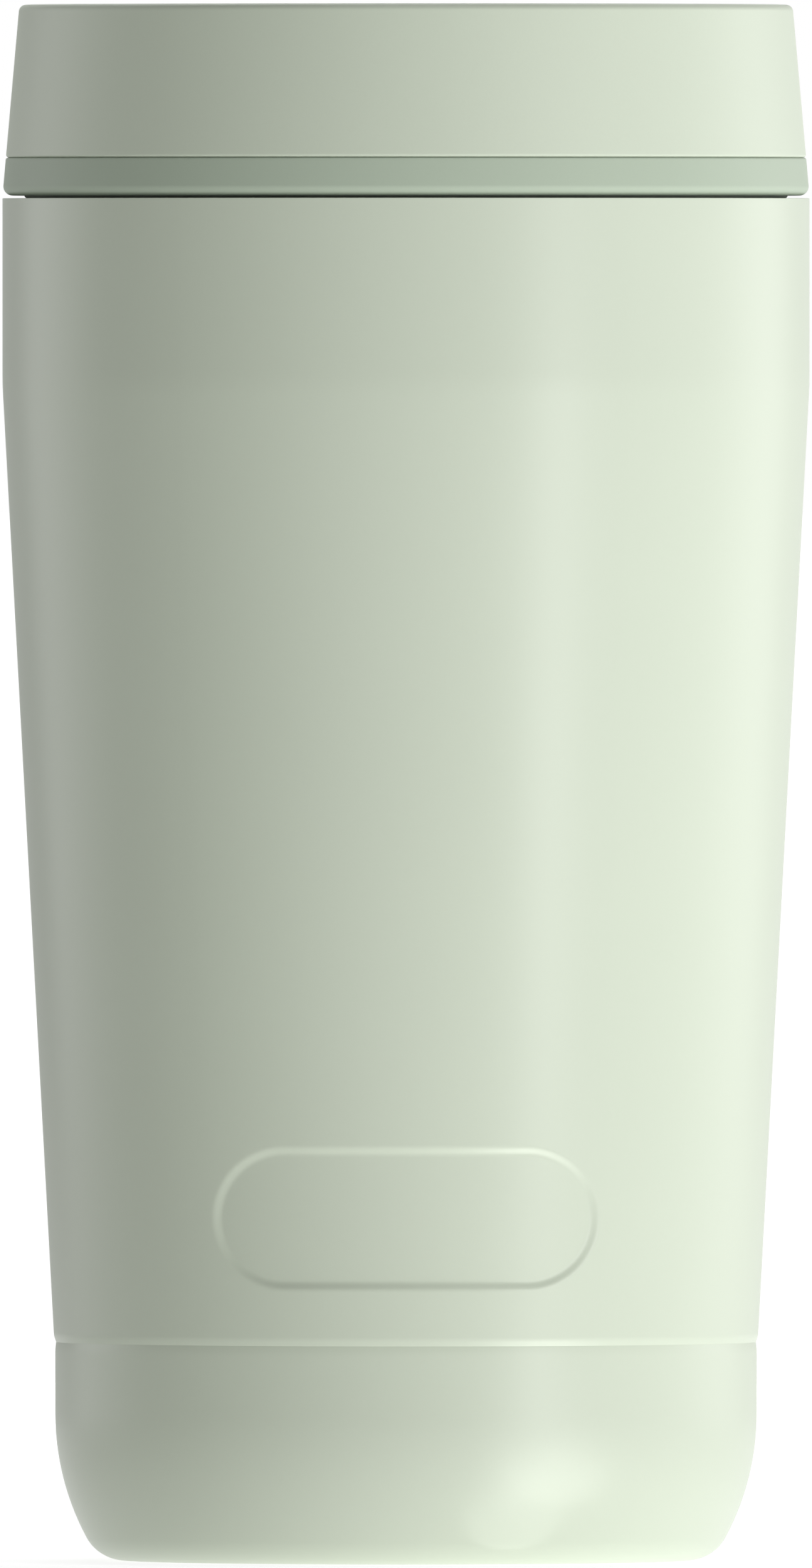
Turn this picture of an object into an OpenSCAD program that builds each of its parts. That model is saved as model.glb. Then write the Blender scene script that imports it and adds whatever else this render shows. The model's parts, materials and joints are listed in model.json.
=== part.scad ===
// Insulated tumbler with a screw-on lid and a push-to-open drinking valve.
// Sizes are in millimetres. The cup stands on z = 0 about the Z axis, and its pressed panel faces -Y.

/* [Cup] */
// Outer diameter of the cup's straight upper part
cup_d = 78; // [74:0.5:84]
// Height of the cup's rim above the table
rim_h = 131.6; // [120:0.2:150]
// Height of the straight part below the rim
straight_h = 18; // [16:0.5:26]
// Outer diameter of the outer shell at its seam with the base
seam_d = 68; // [64:0.5:72]
// Height of that seam above the table
seam_h = 21.1; // [18:0.1:26]
// Sheet thickness of the outer shell and the base
shell_wall = 0.6; // [0.4:0.05:0.8]
// Sheet thickness of the inner vessel
vessel_wall = 0.5; // [0.4:0.05:0.8]
// Width of the vacuum space between the two walls
vacuum_gap = 1.9; // [1.4:0.1:2.6]
// Height of the inner vessel's floor above the table
floor_h = 7.5; // [6.5:0.5:12]
// Radius of the inner vessel's bottom corner
floor_corner_r = 10; // [6:0.5:14]
// Radius that softens the change from the straight part to the taper
shoulder_r = 60; // [20:5:120]
// Rounding of the vessel's mouth
mouth_r = 0.8; // [0.6:0.1:1.2]
// Rounding of the shell's top edge
rim_edge_r = 0.15; // [0.05:0.05:0.3]
// Thickness of the foil that wraps the inner vessel
foil_t = 0.2; // [0.1:0.05:0.4]

/* [Base] */
// Step in from the shell to the base at the seam
base_step = 0.1; // [0:0.05:0.4]
// Width of the bevel on the shell's edge at the seam
seam_bevel_w = 0.2; // [0.1:0.05:0.4]
// Height of that bevel
seam_bevel_h = 0.7; // [0.4:0.1:1.2]
// Rounding of the base's upper edge
base_edge_r = 0.08; // [0.04:0.02:0.3]
// Depth to which the shell's lower end reaches into the base
lap_h = 4; // [2:0.5:6]
// Height of the sloping part at the foot, measured before rounding
flare_h = 7.8; // [6:0.2:10]
// Width of that sloping part
flare_w = 4.2; // [3:0.2:6]
// Radius of the corner where the slope meets the table
foot_corner_r = 4.2; // [2:0.2:5]
// Diameter of the recess under the base
recess_d = 42; // [34:1:46]
// Depth of that recess
recess_h = 1.3; // [1.1:0.1:2]
// Thickness of the cover disc in the recess
cover_t = 0.6; // [0.4:0.1:0.8]
// Diameter of the evacuation port in the base
port_d = 3; // [2:0.2:4]
// Diameter of the getter puck
getter_d = 8; // [6:0.5:10]
// Height of the getter puck
getter_h = 1.6; // [1:0.2:2]

/* [Pressed panel] */
// Width of the panel pressed into the front of the shell
panel_w = 36.5; // [24:0.5:44]
// Height of the panel
panel_h = 13; // [8:0.5:16]
// Height of the panel's centre above the table
panel_z = 33.4; // [32:0.2:60]
// Depth to which the panel is pressed in
panel_depth = 0.3; // [0.1:0.05:0.35]

/* [Lid] */
// Gap between the cup's rim and the lid's band
lid_gap = 0.25; // [0.1:0.05:0.6]
// Height of the lid above the gap
lid_h = 18.45; // [17.5:0.05:24]
// Angle by which the lid's side leans in
lid_taper = 5.07; // [0:0.01:6]
// Height of the dark band at the foot of the lid
band_h = 3.65; // [3:0.05:5]
// Rounding of the band's lower edge
band_edge_r = 0.9; // [0.3:0.1:1.2]
// Rounding on each side of the seam between the band and the cap
cap_seam_r = 0.2; // [0.1:0.05:0.4]
// Width of the drinking lip at the top of the cap
lip_w = 2.4; // [2:0.1:3]
// Rounding of the lip's outer edge
lip_outer_r = 0.7; // [0.4:0.05:0.9]
// Rounding of the lip's inner edge
lip_inner_r = 1; // [0.6:0.1:1]
// Wall of the cap's outer skirt
cap_wall = 1.8; // [1.4:0.1:2.2]
// Wall of the cap's inner side, round the dish
dish_wall = 1.55; // [1.2:0.05:1.7]
// Width of the cap from its outside to the dish, at the seam with the band
cap_w = 5.65; // [5:0.05:6]
// Height of the dish floor's edge above the band
dish_rise = 3.1; // [2.6:0.1:4]
// Fall of the dish floor towards its openings
dish_fall = 0.6; // [0.2:0.1:1]
// Thickness of the dish floor
dish_floor = 1.8; // [1.4:0.1:2]

/* [Plug and thread] */
// Depth to which the lid's plug reaches below the rim
plug_h = 13; // [12:0.5:15]
// Wall of the plug
plug_wall = 2.2; // [1.6:0.1:2.6]
// Height of the thread ridges
thread_h = 1.4; // [1:0.1:1.6]
// Play between each ridge and the wall that it faces
thread_play = 0.4; // [0.3:0.05:0.6]
// Rise of the thread in one turn
thread_lead = 12; // [11:0.5:14]
// Number of ridges round the plug and round the neck
thread_starts = 3; // [2:1:3]
// Length of each ridge, in degrees
thread_arc = 100; // [60:5:110]
// Width of a ridge at its root
ridge_root_w = 1.5; // [1.2:0.1:1.6]
// Width of a ridge at its crest
ridge_crest_w = 0.7; // [0.5:0.1:1]
// Height of the rim gasket
gasket_h = 2; // [1.6:0.1:2.4]
// Width of the rim gasket
gasket_w = 1.55; // [1.2:0.05:1.6]
// Play between the plug's collar and the mouth
collar_play = 0.7; // [0.4:0.05:1]
// Width of the ledge by which the band hooks under the lid's flange
band_hook = 0.35; // [0.2:0.05:0.5]

/* [Valve] */
// Travel of the button
press_travel = 3; // [2.4:0.1:3.2]
// Drop at which the latch holds the valve open
latch_drop = 2.3; // [1.8:0.1:2.3]
// Height of the seat's face below the band's top
seat_drop = 2.5; // [2.2:0.1:3]
// Width of the seat
seat_w = 3; // [2:0.1:4]
// Gap for the drink between the seat and the plug's wall
flow_gap = 3.6; // [2.5:0.1:4]
// Width of the lip at the seat's inner edge, which carries the spider
seat_lip_w = 0.8; // [0.5:0.1:1.2]
// Thickness of that lip
seat_lip_t = 0.4; // [0.3:0.1:0.8]
// Width of the spider's outer ring
spider_rim_w = 1.4; // [1:0.1:2]
// Number of the spider's spokes
spokes = 4; // [3:1:8]
// Width of a spoke
spoke_w = 3; // [2:0.2:4]
// Height of a spoke
spoke_h = 2.4; // [2:0.1:2.6]
// Inner diameter of the hub
hub_d = 22; // [20.4:0.2:24]
// Wall of the hub
hub_wall = 2; // [1.4:0.1:2.4]
// Thickness of the hub's floor
hub_floor = 2.5; // [2.4:0.1:3]
// Wall of the button's skirt
skirt_wall = 1.9; // [1.4:0.1:2.4]
// Thickness of the button's top
button_t = 1.5; // [1.2:0.1:2]
// Depth of the finger hollow in the button
button_hollow = 0.5; // [0.2:0.1:0.7]
// Diameter of the valve stem
stem_d = 5; // [4:0.2:5]
// Diameter of the stem's lower end, inside the plate and the nut
shank_d = 3.8; // [3:0.2:3.8]
// Thickness of the valve plate
plate_t = 2.2; // [2:0.1:3]
// Height of the nut under the valve plate
nut_h = 2.2; // [1.8:0.1:3]
// Size of the nut across its corners
nut_d = 11; // [9:0.5:14]
// Thickness of the stem seal's ring
ring_d = 1.4; // [1:0.1:1.4]
// Height of the latch rotor
rotor_h = 2.4; // [2.4:0.1:3]
// Wall of the latch rotor
rotor_wall = 1.1; // [0.8:0.1:1.2]
// Thickness of the clip under the rotor
clip_t = 0.7; // [0.5:0.1:0.8]
// Wire diameter of the return spring
wire_d = 0.9; // [0.6:0.05:1]
// Diameter of the return spring at the middle of its wire
spring_d = 16.8; // [15:0.2:18]
// Number of turns in the return spring
spring_turns = 5.5; // [4:0.5:6]

/* [Hidden] */

// Finish colours
sage = "#b9c3b4";
dark_sage = "#97a392";
steel = "#b8babc";
silicone = "#4a4d4b";
copper = "#b87545";

// Clearances: pieces fixed together, pieces that turn or slide, and pieces that pass each other
fit_gap = 0.05;
run_gap = 0.1;
free_gap = 0.3;

// Roundings of small edges
fine_edge = 0.1;
small_edge = 0.2;
plain_edge = 0.3;
soft_edge = 0.5;
full_edge = 0.8;

// Deviation allowed where an arc is drawn as short straight steps, and half the angle of a straight corner
arc_error = 0.01;
straight_half = 89.99;
facets = 96;

// Cup
cup_r = cup_d / 2;
seam_r = seam_d / 2;
shoulder_z = rim_h - straight_h;
pill_end_share = 0.98;
shell_slope = (cup_r - seam_r) / (shoulder_z - seam_h);
double_wall = shell_wall + vacuum_gap + vessel_wall;
neck_r = cup_r - double_wall;
lap_r = seam_r - base_step - shell_wall - fit_gap;
bevel_blend_r = 1;
foil_gap = fit_gap;
foil_low_z = seam_h;
foil_setback = 1;
foil_top_z = rim_h - plug_h - foil_setback;

// Base
base_r = seam_r - base_step;
foot_r = base_r - flare_w;
flare_angle = atan(flare_w / flare_h);
foot_corner_run = foot_corner_r * tan((90 - flare_angle) / 2);
bend_r = (norm([flare_w, flare_h]) - foot_corner_run) / tan(flare_angle / 2);
recess_r = recess_d / 2;
port_r = port_d / 2;
base_floor_z = recess_h + shell_wall;
cover_r = recess_r - run_gap;
cover_rim_w = 2.4;
cover_rim_h = 0.35;
cover_low_z = recess_h - cover_t - cover_rim_h;
bead_w = 1.7;
bead_h = 0.25;
bead_plug_h = 0.5;
getter_place = 11;

// Lid
lid_z = rim_h + lid_gap;
band_top_z = lid_z + band_h;
lid_top_z = lid_z + lid_h;
lid_slope = tan(lid_taper);
dish_r = cup_r - lid_slope * band_h - cap_w;
dish_z = band_top_z + dish_rise;
lip_r = cup_r - lid_slope * lid_h;
cap_core_w = 0.7;

// Plug, thread and gasket
plug_r = neck_r - thread_h - thread_play;
plug_in_r = plug_r - plug_wall;
plug_z = rim_h - plug_h;
collar_r = neck_r - collar_play;
collar_h = 1.5;
collar_z = rim_h - collar_h;
thread_pitch = thread_lead / thread_starts;
thread_setback = 0.8;
ridge_low_z = plug_z + ridge_root_w / 2 + thread_setback;
ridge_sunk = 0.25;
ridge_step = 5;
ridge_end_share = 0.4;
ridge_ease_steps = 3;
gasket_in_r = collar_r + fit_gap;
gasket_out_r = gasket_in_r + gasket_w;
gasket_top_z = rim_h + gasket_h;
band_in_r = gasket_out_r + fit_gap;
flange_r = band_in_r + band_hook;

// Valve seat and hub
seat_z = band_top_z - seat_drop;
seat_out_r = plug_in_r - flow_gap;
seat_in_r = seat_out_r - seat_w;
hub_in_r = hub_d / 2;
hub_r = hub_in_r + hub_wall;
hub_drop = 1.1;
hub_low_z = seat_z - hub_drop;
hub_floor_z = hub_low_z + hub_floor;
spoke_z = seat_z + seat_lip_t;
spoke_top_z = spoke_z + spoke_h;

// Stem, valve plate and nut
stem_r = stem_d / 2;
shank_r = shank_d / 2;
plate_top_z = hub_low_z - free_gap;
plate_z = plate_top_z - plate_t;
plate_inset = 0.2;
plate_r = seat_in_r - plate_inset;
tongue_w = 1.6;
tongue_step = 0.5;
tongue_z = plate_z + tongue_step;
tongue_top_z = plate_top_z - tongue_step;
seal_over = 0.5;
seal_under = 0.2;
seal_r = seat_out_r + seal_over;
seal_z = plate_z - seal_under;
nut_z = plate_z - nut_h;
gland_h = ring_d + run_gap;
gland_r = stem_r + ring_d + 2 * fit_gap;
clip_groove_r = stem_r - 0.4;

// Latch: the sleeve is fixed to the hub, and the rotor rides on the stem
sleeve_floor = 1;
sleeve_z = hub_floor_z + sleeve_floor;
clip_z = sleeve_z + press_travel + run_gap;
rotor_z = clip_z + clip_t + run_gap;
rotor_top_z = rotor_z + rotor_h;
rotor_r = stem_r + run_gap + rotor_wall;
rib_play = 0.2;
rib_r = rotor_r + rib_play;
lug_hold = 0.85;
lug_r = rib_r + lug_hold;
lug_play = 0.25;
lug_setback = 0.3;
sleeve_wall = 1.3;
sleeve_in_r = lug_r + lug_play;
sleeve_r = sleeve_in_r + sleeve_wall;
sleeve_head = 1.4;
sleeve_top_z = rotor_top_z + sleeve_head;
tooth_sunk = 0.4;
rib_z = rotor_top_z - latch_drop;
tooth_arc = 8;
teeth = 4;

// Button
skirt_in_r = hub_r + free_gap;
button_r = skirt_in_r + skirt_wall;
skirt_z = spoke_top_z + press_travel + free_gap;
button_low_z = sleeve_top_z + press_travel + free_gap;
button_top_z = button_low_z + button_t;
hub_head = 1;
hub_top_z = button_low_z - press_travel - hub_head;
boss_z = rotor_top_z + run_gap;
stem_setback = 0.8;
stem_top_z = button_low_z - stem_setback;
hollow_rim_w = 3.2;
hollow_blend_r = 6;
button_edge_r = 1.2;

// Outer radius of the shell and inner radius of the vessel at a height
function shell_r(z) = cup_r - shell_slope * max(0, shoulder_z - z);
function vessel_r(z) = shell_r(z) - double_wall;
// Outer radius of the lid at a height
function lid_r(z) = cup_r - lid_slope * (z - lid_z);

// Outlines are lists of [radius, height, rounding of that corner]
function unit(v) = v / norm(v);
function flat(p) = [p[0], p[1]];
function turned_by(v, a) = [v[0] * cos(a) - v[1] * sin(a), v[0] * sin(a) + v[1] * cos(a)];
function right_of(d) = [d[1], -d[0]];

// The points of one corner: the corner itself, or its arc
function corner(before, p, after) =
    let (
        to_before = unit(flat(before) - flat(p)),
        to_after = unit(flat(after) - flat(p)),
        half = acos(max(-1, min(1, to_before * to_after))) / 2,
        r = p[2]
    )
    r == 0 || half > straight_half ? [flat(p)] :
    let (
        centre = flat(p) + unit(to_before + to_after) * r / sin(half),
        start = flat(p) + to_before * r / tan(half) - centre,
        sweep = (cross(to_before, to_after) < 0 ? 1 : -1) * (180 - 2 * half),
        steps = max(2, ceil(abs(sweep) / 2 / acos(1 - min(1, arc_error / r))))
    )
    [for (i = [0 : steps]) centre + turned_by(start, sweep * i / steps)];

function outline(points) =
    let (n = len(points))
    [for (i = [0 : n - 1]) each corner(points[(i + n - 1) % n], points[i], points[(i + 1) % n])];

// The outline of a sheet of even thickness whose material lies to the right of a path
function sheet(path, t) =
    let (n = len(path))
    concat(path, [
        for (i = [n - 1 : -1 : 0])
            let (
                along_in = unit(flat(path[max(i, 1)]) - flat(path[max(i, 1) - 1])),
                along_out = unit(flat(path[min(i, n - 2) + 1]) - flat(path[min(i, n - 2)])),
                side_in = right_of(along_in),
                side_out = right_of(along_out),
                moved = flat(path[i]) + (side_in + side_out) * t / (1 + side_in * side_out),
                inner_side = cross(along_in, along_out) < 0,
                inner = i > 0 && i < n - 1 && path[i][2] > 0,
                r = inner ? max(0, path[i][2] + (inner_side ? -t : t)) : 0
            )
            [moved[0], moved[1], r]
    ]);

module turned(points) rotate_extrude($fn = facets) polygon(outline(points));

// Faces of a closed tube whose sections follow one another
function tube_faces(sections, sides) = concat(
    [for (i = [0 : sections - 2], j = [0 : sides - 1]) each
        let (k = (j + 1) % sides, a = i * sides, b = a + sides)
        [[a + j, a + k, b + k], [a + j, b + k, b + j]]],
    [for (j = [1 : sides - 2]) [0, j + 1, j]],
    [for (j = [1 : sides - 2]) let (e = (sections - 1) * sides) [e, e + j, e + j + 1]]
);

// Ridges of a screw thread that stand on a wall, blunt at both ends
module thread_ridges(wall_r, crest_r, low_z) {
    steps = ceil(thread_arc / ridge_step);
    inward = crest_r < wall_r ? 1 : -1;
    root_r = wall_r + inward * ridge_sunk;
    sections = [for (i = [0 : steps])
        let (
            a = thread_arc * i / steps,
            z = low_z + thread_lead * a / 360,
            rise = min(1, i / ridge_ease_steps, (steps - i) / ridge_ease_steps),
            height = ridge_end_share + (1 - ridge_end_share) * rise,
            r = wall_r + (crest_r - wall_r) * height
        )
        each [for (p = [
            [root_r, -ridge_root_w], [r, -ridge_crest_w], [r, ridge_crest_w], [root_r, ridge_root_w]
        ]) [p[0] * cos(a), p[0] * sin(a), z + p[1] / 2]]
    ];
    faces = tube_faces(steps + 1, 4);
    for (k = [0 : thread_starts - 1])
        rotate([0, 0, k * 360 / thread_starts])
            polyhedron(sections, inward > 0 ? [for (f = faces) [f[0], f[2], f[1]]] : faces);
}

// Teeth that stand round a ring, each centred on its place
module teeth_ring(in_r, out_r, low_z, high_z, first) {
    for (k = [0 : teeth - 1])
        rotate([0, 0, first + k * 360 / teeth - tooth_arc / 2])
            rotate_extrude(angle = tooth_arc, $fn = facets)
                translate([in_r, low_z])
                    square([out_r - in_r, high_z - low_z]);
}

// The space in front of the cup that the panel's outline sweeps, grown all round
module panel_prism(grown) {
    translate([0, 0, panel_z])
        rotate([90, 0, 0])
            linear_extrude(cup_r)
                polygon(outline(pill(panel_w / 2 + grown, panel_h / 2 + grown)));
}

// The shell's wall at the panel, pressed in by the panel's depth
module pressed_wall() {
    low = panel_z - panel_h;
    high = panel_z + panel_h;
    turned([
        [shell_r(low) - panel_depth - shell_wall, low, 0],
        [shell_r(low) - panel_depth, low, 0],
        [shell_r(high) - panel_depth, high, 0],
        [shell_r(high) - panel_depth - shell_wall, high, 0]
    ]);
}

// A rectangle with rounded ends, whose short sides keep a little flat
function pill(half_w, half_h) = [for (s = [[1, 1], [-1, 1], [-1, -1], [1, -1]])
    [s[0] * half_w, s[1] * half_h, half_h * pill_end_share]];

module outer_shell() {
    wall = sheet([
        [cup_r, rim_h, rim_edge_r],
        [cup_r, shoulder_z, shoulder_r],
        [shell_r(seam_h + seam_bevel_h), seam_h + seam_bevel_h, bevel_blend_r],
        [seam_r - seam_bevel_w, seam_h, 0],
        [lap_r, seam_h, 0],
        [lap_r, seam_h - lap_h, 0]
    ], shell_wall);
    color(sage) union() {
        difference() {
            turned(wall);
            panel_prism(0);
        }
        // The pressed wall runs on behind the panel's edge, where the two walls join
        intersection() {
            pressed_wall();
            panel_prism(shell_wall);
        }
    }
}

module base_cup() {
    color(sage) turned(sheet([
        [base_r, seam_h, base_edge_r],
        [base_r, flare_h, bend_r],
        [foot_r, 0, foot_corner_r],
        [recess_r, 0, soft_edge],
        [recess_r, recess_h, 0],
        [port_r, recess_h, 0]
    ], shell_wall));
}

module inner_vessel() {
    flange_edge_r = cup_r - shell_wall - fit_gap;
    color(steel) union() {
        turned(sheet([
            [0, floor_h, 0],
            [vessel_r(floor_h), floor_h, floor_corner_r],
            [neck_r, shoulder_z, shoulder_r],
            [neck_r, rim_h, mouth_r],
            [flange_edge_r, rim_h, 0]
        ], vessel_wall));
        thread_ridges(neck_r, neck_r - thread_h, ridge_low_z + thread_pitch / 2);
    }
}

module radiation_shield() {
    out = vessel_wall + foil_gap;
    color(copper) turned(sheet([
        [vessel_r(foil_low_z) + out, foil_low_z, 0],
        [neck_r + out, shoulder_z, shoulder_r],
        [neck_r + out, foil_top_z, 0]
    ], foil_t));
}

module getter() {
    color(steel) translate([getter_place, 0, base_floor_z]) cylinder(d = getter_d, h = getter_h, $fn = facets);
}

module port_seal() {
    color(steel) turned([
        [0, recess_h - bead_h, 0],
        [port_r + bead_w, recess_h - bead_h, fine_edge],
        [port_r + bead_w, recess_h, 0],
        [port_r - fit_gap, recess_h, 0],
        [port_r - fit_gap, base_floor_z + bead_plug_h, plain_edge],
        [0, base_floor_z + bead_plug_h, 0]
    ]);
}

module base_cover() {
    color(dark_sage) turned([
        [0, cover_low_z, 0],
        [cover_r, cover_low_z, plain_edge],
        [cover_r, recess_h, 0],
        [cover_r - cover_rim_w, recess_h, 0],
        [cover_r - cover_rim_w, cover_low_z + cover_t, 0],
        [0, cover_low_z + cover_t, 0]
    ]);
}

module rim_gasket() {
    color(silicone) turned([
        [gasket_in_r, rim_h, plain_edge],
        [gasket_out_r, rim_h, plain_edge],
        [gasket_out_r, gasket_top_z, small_edge],
        [gasket_in_r, gasket_top_z, small_edge]
    ]);
}

module lid_cap() {
    skirt_in = lid_r(band_top_z) - cap_wall;
    wall_slope = (lip_r - lip_w - dish_r) / (lid_top_z - dish_z);
    // Height at which the space between the two walls has narrowed to its core width
    core_z = dish_z + (lid_r(dish_z) - cap_wall - dish_r - dish_wall - cap_core_w) / (wall_slope + lid_slope);
    color(sage) turned([
        [lid_r(band_top_z), band_top_z, cap_seam_r],
        [lip_r, lid_top_z, lip_outer_r],
        [lip_r - lip_w, lid_top_z, lip_inner_r],
        [dish_r, dish_z, 0],
        [dish_r + dish_wall, dish_z, 0],
        [lid_r(core_z) - cap_wall - cap_core_w, core_z, 0],
        [lid_r(core_z) - cap_wall, core_z, 0],
        [skirt_in, band_top_z, 0]
    ]);
}

module lid_band() {
    color(dark_sage) turned([
        [lid_r(lid_z), lid_z, band_edge_r],
        [lid_r(band_top_z), band_top_z, cap_seam_r],
        [flange_r + fit_gap, band_top_z, 0],
        [flange_r + fit_gap, gasket_top_z - fit_gap, 0],
        [band_in_r, gasket_top_z - fit_gap, 0],
        [band_in_r, lid_z, plain_edge]
    ]);
}

module lid_body() {
    upstand_r = dish_r + dish_wall;
    window_z = dish_z - dish_fall;
    color(dark_sage) union() {
        turned([
            [plug_in_r, plug_z, plain_edge],
            [plug_r, plug_z, soft_edge],
            [plug_r, collar_z - (collar_r - plug_r), 0],
            [collar_r, collar_z, 0],
            [collar_r, gasket_top_z, 0],
            [flange_r, gasket_top_z, 0],
            [flange_r, band_top_z, 0],
            [upstand_r, band_top_z, 0],
            [upstand_r, dish_z, 0],
            [dish_r, dish_z, 0],
            [seat_in_r, window_z, soft_edge],
            [seat_in_r, spoke_z, 0],
            [seat_in_r - seat_lip_w, spoke_z, 0],
            [seat_in_r - seat_lip_w, seat_z, 0],
            [seat_out_r, seat_z, 0],
            [seat_out_r, window_z - dish_floor, 0],
            [plug_in_r, window_z - dish_floor, full_edge]
        ]);
        thread_ridges(plug_r, plug_r + thread_h, ridge_low_z);
    }
}

module valve_spider() {
    rim_r = seat_in_r - fit_gap;
    rim_in_r = rim_r - spider_rim_w;
    color(dark_sage) union() {
        turned([
            [stem_r + run_gap, hub_low_z, 0],
            [hub_r, hub_low_z, soft_edge],
            [hub_r, hub_top_z, soft_edge],
            [hub_in_r, hub_top_z, soft_edge],
            [hub_in_r, hub_floor_z, 0],
            [gland_r, hub_floor_z, 0],
            [gland_r, hub_floor_z - gland_h, 0],
            [stem_r + run_gap, hub_floor_z - gland_h, 0]
        ]);
        turned([
            [rim_in_r, spoke_z, 0],
            [rim_r, spoke_z, 0],
            [rim_r, spoke_top_z, plain_edge],
            [rim_in_r, spoke_top_z, plain_edge]
        ]);
        for (k = [0 : spokes - 1])
            rotate([0, 0, (k + 0.5) * 360 / spokes])
                translate([hub_r - hub_wall / 2, -spoke_w / 2, spoke_z])
                    cube([rim_in_r + spider_rim_w / 2 - hub_r + hub_wall / 2, spoke_w, spoke_h]);
    }
}

module guide_sleeve() {
    color(steel) union() {
        turned([
            [stem_r + run_gap, hub_floor_z, 0],
            [hub_in_r - fit_gap, hub_floor_z, 0],
            [hub_in_r - fit_gap, sleeve_z, small_edge],
            [sleeve_r, sleeve_z, 0],
            [sleeve_r, sleeve_top_z, plain_edge],
            [sleeve_in_r, sleeve_top_z, 0],
            [sleeve_in_r, sleeve_z, 0],
            [stem_r + run_gap, sleeve_z, 0]
        ]);
        teeth_ring(rib_r, sleeve_in_r + tooth_sunk, rib_z, sleeve_top_z - lug_setback, 180 / teeth);
    }
}

module stem_seal() {
    color(silicone) translate([0, 0, hub_floor_z - gland_h + ring_d / 2])
        rotate_extrude($fn = facets)
            translate([stem_r + fit_gap + ring_d / 2, 0])
                circle(d = ring_d, $fn = 32);
}

module return_spring() {
    per_turn = 16;
    sides = 8;
    low = sleeve_z + wire_d / 2;
    high = button_low_z - wire_d / 2;
    steps = ceil(spring_turns * per_turn);
    coil_r = spring_d / 2;
    centres = [for (i = [0 : steps])
        let (a = 360 * spring_turns * i / steps)
        [coil_r * cos(a), coil_r * sin(a), low + (high - low) * i / steps]];
    points = [for (i = [0 : steps], j = [0 : sides - 1])
        let (a = 360 * spring_turns * i / steps, b = 360 * j / sides, out = coil_r + wire_d / 2 * cos(b))
        [out * cos(a), out * sin(a), centres[i][2] + wire_d / 2 * sin(b)]];
    turn_gaps = [for (i = [0 : steps - per_turn], j = [-2 : 2])
        if (i + per_turn + j <= steps) norm(centres[i + per_turn + j] - centres[i]) - wire_d];
    echo(least_gap_in_spring = min(turn_gaps));
    color(steel) polyhedron(points, tube_faces(steps + 1, sides));
}

module push_button() {
    boss_r = rotor_r;
    socket_r = stem_r + fit_gap;
    color(sage) turned([
        [0, button_top_z - button_hollow, 0],
        [button_r - hollow_rim_w, button_top_z, hollow_blend_r],
        [button_r, button_top_z, button_edge_r],
        [button_r, skirt_z, soft_edge],
        [skirt_in_r, skirt_z, plain_edge],
        [skirt_in_r, button_low_z, soft_edge],
        [boss_r, button_low_z, 0],
        [boss_r, boss_z, 0],
        [socket_r, boss_z, 0],
        [socket_r, stem_top_z + run_gap, 0],
        [0, stem_top_z + run_gap, 0]
    ]);
}

module valve_stem() {
    color(steel) turned([
        [0, nut_z - free_gap, 0],
        [shank_r, nut_z - free_gap, plain_edge],
        [shank_r, plate_top_z, 0],
        [stem_r, plate_top_z, 0],
        [stem_r, clip_z - fit_gap, 0],
        [clip_groove_r, clip_z - fit_gap, 0],
        [clip_groove_r, clip_z + clip_t + fit_gap, 0],
        [stem_r, clip_z + clip_t + fit_gap, 0],
        [stem_r, stem_top_z, plain_edge],
        [0, stem_top_z, 0]
    ]);
}

module valve_plate() {
    color(dark_sage) turned([
        [shank_r + fit_gap, plate_z, 0],
        [plate_r, plate_z, 0],
        [plate_r, tongue_z, 0],
        [plate_r + tongue_w, tongue_z, 0],
        [plate_r + tongue_w, tongue_top_z, 0],
        [plate_r, tongue_top_z, 0],
        [plate_r, plate_top_z, 0],
        [shank_r + fit_gap, plate_top_z, 0]
    ]);
}

module valve_seal() {
    in_r = plate_r + fit_gap;
    slot_r = plate_r + tongue_w + fit_gap;
    // Margins that the seal's flat face leaves inside the seat's two edges
    land_in = 0.8;
    land_out = 0.2;
    color(silicone) turned([
        [in_r, tongue_top_z + fit_gap, 0],
        [slot_r, tongue_top_z + fit_gap, 0],
        [slot_r, tongue_z - fit_gap, 0],
        [in_r, tongue_z - fit_gap, 0],
        [in_r, seal_z, small_edge],
        [seal_r, seal_z, full_edge],
        [seal_r, plate_top_z, soft_edge],
        [seat_out_r - land_out, seat_z, small_edge],
        [seat_in_r + land_in, seat_z, small_edge],
        [in_r, plate_top_z + fine_edge, fine_edge]
    ]);
}

module valve_nut() {
    color(steel) difference() {
        translate([0, 0, nut_z]) cylinder(d = nut_d, h = nut_h, $fn = 6);
        translate([0, 0, nut_z - nut_h]) cylinder(r = shank_r + fit_gap, h = 3 * nut_h, $fn = facets);
    }
}

module rotor_clip() {
    out_r = rotor_r - run_gap;
    color(steel) difference() {
        turned([
            [clip_groove_r + fit_gap, clip_z, 0],
            [out_r, clip_z, 0],
            [out_r, clip_z + clip_t, 0],
            [clip_groove_r + fit_gap, clip_z + clip_t, 0]
        ]);
        translate([0, -stem_r / 2, clip_z - clip_t]) cube([2 * out_r, stem_r, 3 * clip_t]);
    }
}

module latch_rotor() {
    color(steel) union() {
        turned([
            [stem_r + run_gap, rotor_z, 0],
            [rotor_r, rotor_z, small_edge],
            [rotor_r, rotor_top_z, small_edge],
            [stem_r + run_gap, rotor_top_z, 0]
        ]);
        teeth_ring(rotor_r - tooth_sunk, lug_r, rotor_z + lug_setback, rotor_top_z - lug_setback, 0);
    }
}

outer_shell();
base_cup();
inner_vessel();
radiation_shield();
getter();
port_seal();
base_cover();
rim_gasket();
lid_cap();
lid_band();
lid_body();
valve_spider();
guide_sleeve();
stem_seal();
return_spring();
push_button();
valve_stem();
valve_plate();
valve_seal();
valve_nut();
rotor_clip();
latch_rotor();
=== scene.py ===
"""Looks of an insulated tumbler with a screw-on lid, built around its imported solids."""

import bmesh
import bpy
import json
import math
from mathutils import Matrix, Vector


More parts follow.
